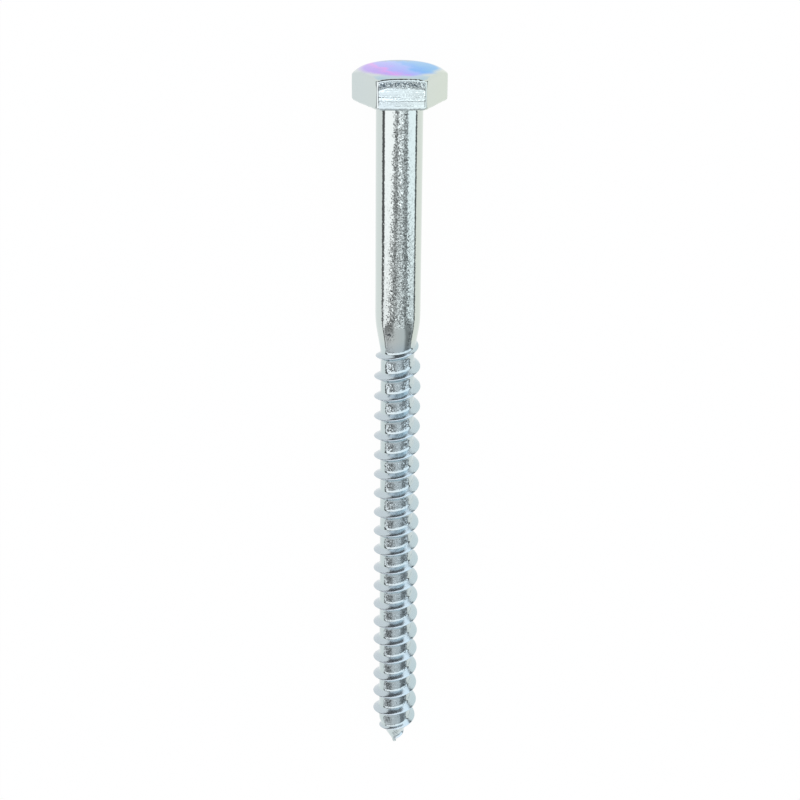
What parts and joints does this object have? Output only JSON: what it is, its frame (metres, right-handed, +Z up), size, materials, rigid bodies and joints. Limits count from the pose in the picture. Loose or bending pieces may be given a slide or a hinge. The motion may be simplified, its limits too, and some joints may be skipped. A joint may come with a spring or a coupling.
{
  "type": "coach screw",
  "caption": "Hexagon head coach screw with a plain shank, a coarse wood thread and a gimlet point, in bright zinc plated steel.",
  "frame": {"origin": "centre of the bottom of the box round the screw, on the surface that it lies on", "axes": "+Z up from that surface, +Y along the screw from its point towards its head, which lies within 1.4 degrees of the screw's own axis"},
  "size_m": [0.0184, 0.154, 0.0161],
  "materials": {
    "zinc_plate": "bright zinc plate, clear passivated"
  },
  "bodies": {
    "root": {"coach_screw": "zinc_plate"}
  },
  "joints": []
}
